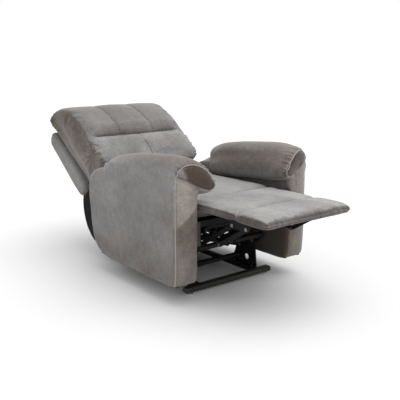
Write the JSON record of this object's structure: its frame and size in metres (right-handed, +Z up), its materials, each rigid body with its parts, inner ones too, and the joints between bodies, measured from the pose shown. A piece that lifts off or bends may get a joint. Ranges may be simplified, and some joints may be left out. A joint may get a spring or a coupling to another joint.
{
  "type": "lift recliner chair",
  "caption": "Upholstered single-seat lift recliner: four-bar lift on a floor frame, motor-driven reclining back, fold-out footrest and padded arms.",
  "frame": {"origin": "on the floor, under the middle of the chair's bounding box in the stored pose (reclined, footrest out, lift down)", "axes": "+Z up; the chair faces -Y; +X is the sitter's left"},
  "size_m": [0.84, 1.8436, 0.8192],
  "materials": {
    "upholstery": "grey short-pile velvet",
    "black_cloth": "black non-woven cambric",
    "timber": "sawn plywood and softwood",
    "black_steel": "semi-gloss black powder coat",
    "spring_wire": "oiled drawn wire",
    "zinc": "bright zinc plate",
    "rod_steel": "polished",
    "black_plastic": "fine moulded texture"
  },
  "bodies": {
    "base": {"base_cross_tubes": "black_steel", "base_side_tubes": "black_steel", "base_end_caps": "black_plastic", "levelling_glides": "zinc", "lift_towers": "black_steel", "tower_bolts": "zinc", "tower_cross_tube": "black_steel", "lift_pivot_pins": "zinc", "lift_motor_anchor": "black_steel"},
    "front_links": {"front_lift_links": "black_steel", "lift_torque_tube": "black_steel", "lift_rod_pin": "zinc"},
    "rear_links": {"rear_lift_links": "black_steel"},
    "lift_actuator_rod": {"lift_rod": "rod_steel"},
    "lift_actuator_housing": {"lift_outer_tube": "black_plastic", "lift_gearbox": "black_plastic", "lift_motor": "black_plastic"},
    "chassis": {"chassis_side_plates": "black_steel", "chassis_cross_bars": "black_steel", "chassis_pivot_pins": "zinc", "back_hinge_bolts": "zinc", "seat_side_rails": "timber", "seat_cross_rails": "timber", "seat_rail_brackets": "black_steel", "seat_springs": "spring_wire", "seat_dust_cover": "black_cloth", "seat_cushion": "upholstery", "chaise_pad": "upholstery", "arm_cover_left": "upholstery", "arm_cover_right": "upholstery", "arm_frame_left": "timber", "arm_frame_right": "timber", "arm_pad_left": "upholstery", "arm_pad_right": "upholstery", "arm_bolts": "zinc", "control_box": "black_plastic"},
    "back_actuator_housing": {"back_gearbox": "black_plastic", "back_motor": "black_plastic", "back_outer_tube": "black_plastic"},
    "back_actuator_rod": {"back_rod": "rod_steel"},
    "back": {"back_hinge_brackets": "black_steel", "back_side_rails": "timber", "back_cross_rails": "timber", "back_wing_frames": "timber", "back_actuator_bracket": "black_steel", "back_actuator_pin": "zinc", "outer_back_panel": "upholstery", "lumbar_cushion": "upholstery", "head_cushion": "upholstery", "rear_dust_cover": "black_cloth"},
    "footrest": {"footrest_board": "timber", "footrest_pad": "upholstery", "footrest_brackets": "black_steel", "footrest_bracket_pins": "zinc"},
    "footrest_front_crank": {"footrest_front_crank_links": "black_steel", "footrest_front_rivets": "zinc"},
    "footrest_front_push": {"footrest_front_push_links": "black_steel"},
    "footrest_rear_crank": {"footrest_rear_crank_links": "black_steel", "footrest_rear_rivets": "zinc"},
    "footrest_rear_push": {"footrest_rear_push_links": "black_steel"}
  },
  "joints": [
    {"name": "lift", "type": "hinge", "parent": "base", "child": "front_links", "pos_m": [0, -0.32735, 0.1803], "axis": [1, 0, 0], "range_deg": [0, 58]},
    {"name": "chassis_tilt", "type": "hinge", "parent": "front_links", "child": "chassis", "pos_m": [0, -0.02255, 0.1735], "axis": [1, 0, 0], "range_deg": [-34.2, 0]},
    {"name": "rear_link_swing", "type": "hinge", "parent": "base", "child": "rear_links", "pos_m": [0, -0.22965, 0.1355], "axis": [1, 0, 0], "range_deg": [0, 53]},
    {"name": "lift_rod_swing", "type": "hinge", "parent": "front_links", "child": "lift_actuator_rod", "pos_m": [0, -0.34245, 0.2583], "axis": [1, 0, 0], "range_deg": [-52, 0]},
    {"name": "lift_housing_slide", "type": "slide", "parent": "lift_actuator_rod", "child": "lift_actuator_housing", "axis": [0, 0.9389, -0.3442], "range_m": [0, 0.0485]},
    {"name": "back_recline", "type": "hinge", "parent": "chassis", "child": "back", "pos_m": [0, 0.23825, 0.3], "axis": [1, 0, 0], "range_deg": [0, 40], "deforming": ["rear_dust_cover"]},
    {"name": "back_motor_swing", "type": "hinge", "parent": "chassis", "child": "back_actuator_housing", "pos_m": [-0.1, -0.20145, 0.26], "axis": [1, 0, 0], "range_deg": [0, 5]},
    {"name": "back_rod_slide", "type": "slide", "parent": "back_actuator_housing", "child": "back_actuator_rod", "axis": [0, 0.9985, -0.0549], "range_m": [0, 0.036]},
    {"name": "footrest", "type": "hinge", "parent": "chassis", "child": "footrest", "pos_m": [0, -0.56675, 0.46], "axis": [1, 0, 0], "range_deg": [0, 88]},
    {"name": "footrest_front_crank_swing", "type": "hinge", "parent": "chassis", "child": "footrest_front_crank", "pos_m": [0, -0.37965, 0.3446], "axis": [1, 0, 0], "range_deg": [0, 89]},
    {"name": "footrest_front_push_swing", "type": "hinge", "parent": "footrest_front_crank", "child": "footrest_front_push", "pos_m": [0, -0.58385, 0.2953], "axis": [1, 0, 0], "range_deg": [-90, 0]},
    {"name": "footrest_rear_crank_swing", "type": "hinge", "parent": "chassis", "child": "footrest_rear_crank", "pos_m": [0, -0.33445, 0.3147], "axis": [1, 0, 0], "range_deg": [0, 89]},
    {"name": "footrest_rear_push_swing", "type": "hinge", "parent": "footrest_rear_crank", "child": "footrest_rear_push", "pos_m": [0, -0.44895, 0.2655], "axis": [1, 0, 0], "range_deg": [-90, 0]}
  ],
  "couplings": [
    {"joint": "chassis_tilt", "follows": "lift", "ratio": -0.586},
    {"joint": "rear_link_swing", "follows": "lift", "ratio": 0.9084},
    {"joint": "lift_rod_swing", "follows": "lift", "ratio": -0.8906},
    {"joint": "lift_housing_slide", "follows": "lift", "m_per_rad": 0.0466},
    {"joint": "back_motor_swing", "follows": "back_recline", "ratio": 0.1221},
    {"joint": "back_rod_slide", "follows": "back_recline", "m_per_rad": 0.05},
    {"joint": "footrest_front_crank_swing", "follows": "footrest", "ratio": 1.0052},
    {"joint": "footrest_front_push_swing", "follows": "footrest", "ratio": -1.0103},
    {"joint": "footrest_rear_crank_swing", "follows": "footrest", "ratio": 0.9979},
    {"joint": "footrest_rear_push_swing", "follows": "footrest", "ratio": -1.007}
  ]
}
